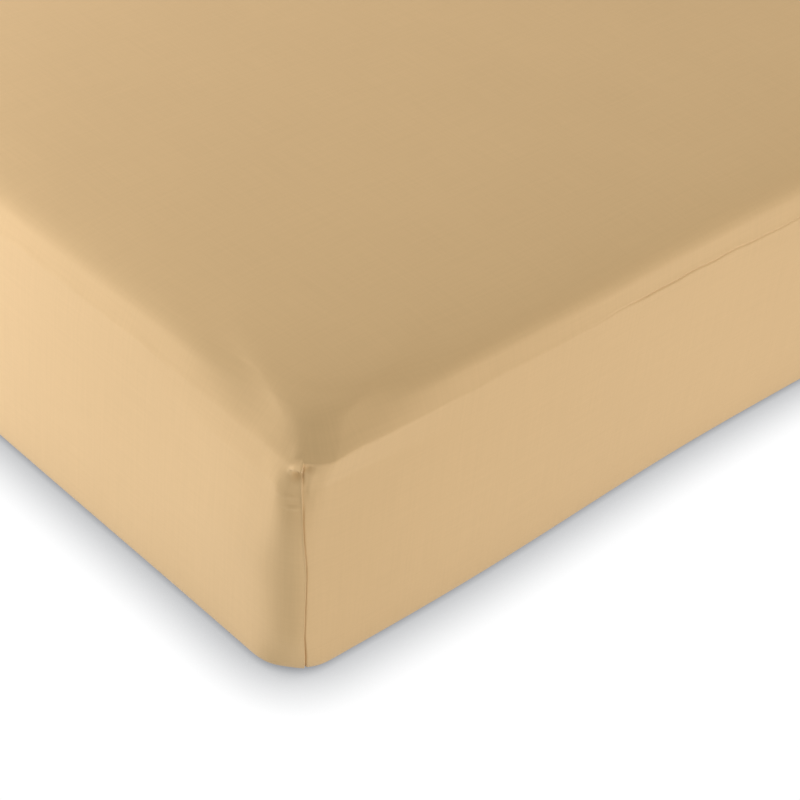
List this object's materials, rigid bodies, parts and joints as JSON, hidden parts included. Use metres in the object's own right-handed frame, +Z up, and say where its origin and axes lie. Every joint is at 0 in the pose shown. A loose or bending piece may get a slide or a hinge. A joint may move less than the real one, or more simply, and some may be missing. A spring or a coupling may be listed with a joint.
{
  "type": "fitted sheet on a mattress",
  "caption": "Plain woven fitted sheet stretched over a mattress, with sewn corners, a creased shoulder and a hem turned under.",
  "frame": {"origin": "on the surface that the mattress stands on, under the middle of the dressed mattress", "axes": "+X along the mattress's length, +Y across its width, +Z up"},
  "size_m": [2.0056, 0.9, 0.25],
  "materials": {
    "sheet_cotton": "plain woven cotton, honey tan, matt with a slight sheen",
    "mattress_ticking": "off-white woven ticking, matt"
  },
  "bodies": {
    "root": {"fitted_sheet": "sheet_cotton", "mattress": "mattress_ticking"}
  },
  "joints": []
}
